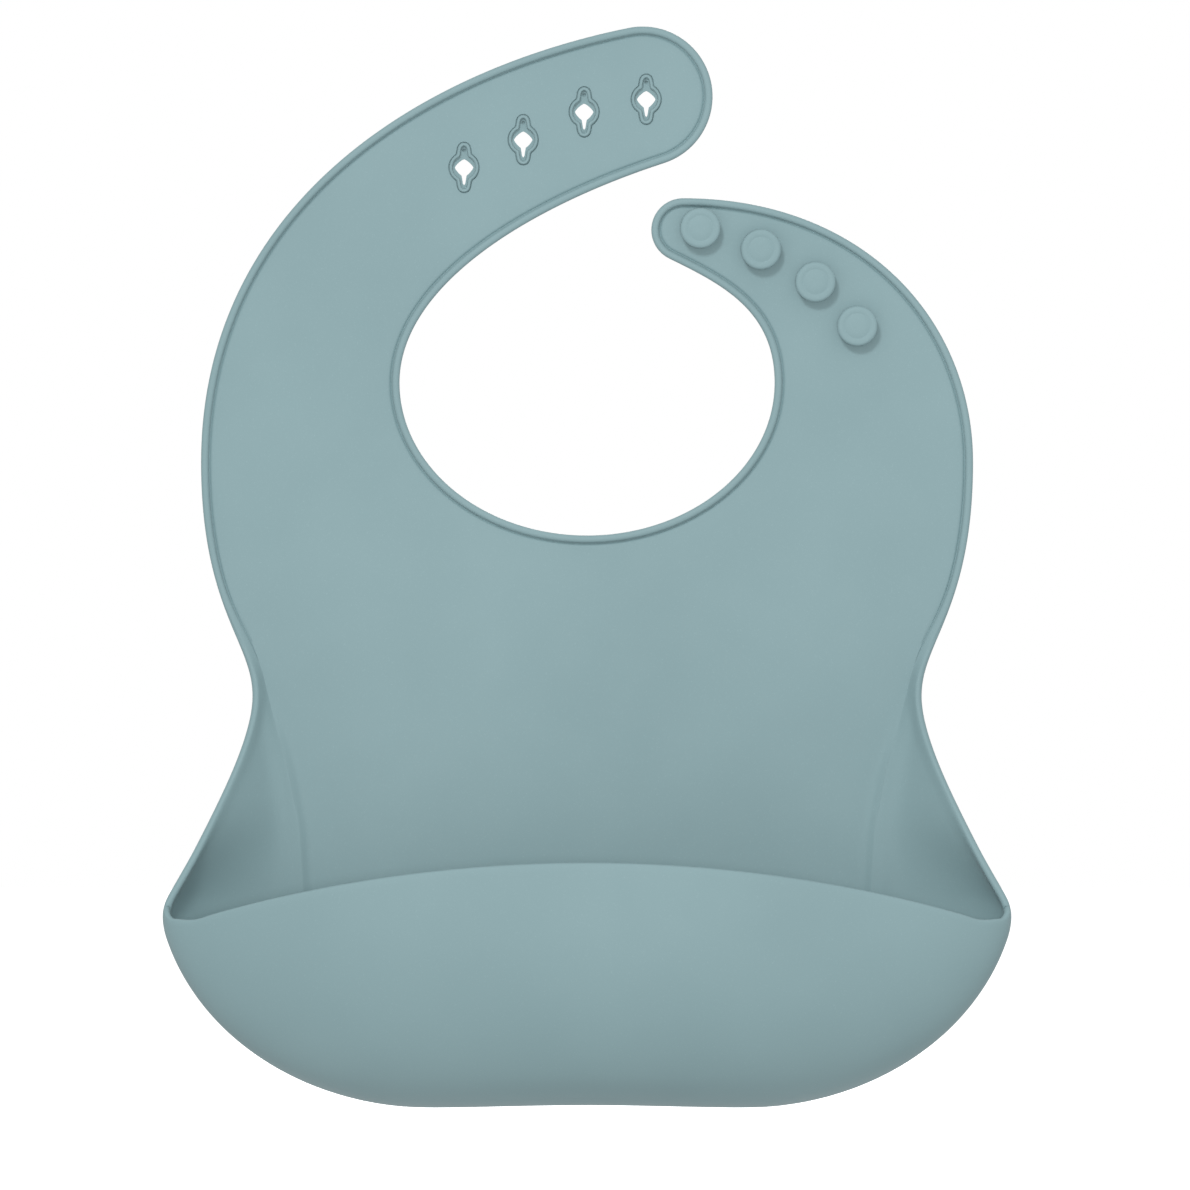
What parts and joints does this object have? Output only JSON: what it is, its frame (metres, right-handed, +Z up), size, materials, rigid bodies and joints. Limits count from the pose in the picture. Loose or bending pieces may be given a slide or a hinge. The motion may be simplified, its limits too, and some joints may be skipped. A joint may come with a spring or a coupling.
{
  "type": "silicone bib",
  "caption": "Moulded silicone bib: neck opening, two overlapping straps with studs and eyelets, and a deep open catch pocket.",
  "frame": {"origin": "centre of the neck opening, in the plane of the panel's back face", "axes": "+Z up towards the straps, -Y out of the front, +X to the side with the studs"},
  "size_m": [0.2366, 0.048, 0.2995],
  "materials": {
    "silicone": "matt, smooth"
  },
  "bodies": {
    "chest": {"chest_panel": "silicone"},
    "hole_strap": {"hole_strap_shoulder": "silicone"},
    "hole_strap_tip": {"hole_strap_end": "silicone", "eyelet_1": "silicone", "eyelet_2": "silicone", "eyelet_3": "silicone", "eyelet_4": "silicone"},
    "stud_strap_side": {"stud_strap": "silicone", "stud_1": "silicone", "stud_2": "silicone", "stud_3": "silicone", "stud_4": "silicone"},
    "pocket_side": {"lower_panel": "silicone", "left_gusset": "silicone", "right_gusset": "silicone", "left_pocket_end": "silicone", "right_pocket_end": "silicone", "pocket_floor": "silicone"},
    "pocket_mouth": {"pocket_front": "silicone"}
  },
  "joints": [
    {"name": "hole_strap_fold", "type": "hinge", "parent": "chest", "child": "hole_strap", "pos_m": [-0.079, 0, 0], "axis": [-1, 0, 0], "range_deg": [-30, 100], "stiffness_Nm_per_rad": 0.2},
    {"name": "hole_strap_wrap", "type": "hinge", "parent": "hole_strap", "child": "hole_strap_tip", "pos_m": [-0.0536, 0, 0.045], "axis": [-0.766, 0, 0.6428], "range_deg": [-20, 75], "stiffness_Nm_per_rad": 0.12},
    {"name": "stud_strap_fold", "type": "hinge", "parent": "chest", "child": "stud_strap_side", "pos_m": [0.078, 0, 0], "axis": [-1, 0, 0], "range_deg": [-30, 100], "stiffness_Nm_per_rad": 0.15},
    {"name": "waist_fold", "type": "hinge", "parent": "chest", "child": "pocket_side", "pos_m": [0, -0.0027, -0.062], "axis": [-1, 0, 0], "range_deg": [-30, 75], "stiffness_Nm_per_rad": 0.6},
    {"name": "pocket_flex", "type": "hinge", "parent": "pocket_side", "child": "pocket_mouth", "pos_m": [0, -0.0395, -0.176], "axis": [1, 0, 0], "range_deg": [-15, 20], "stiffness_Nm_per_rad": 0.3}
  ]
}
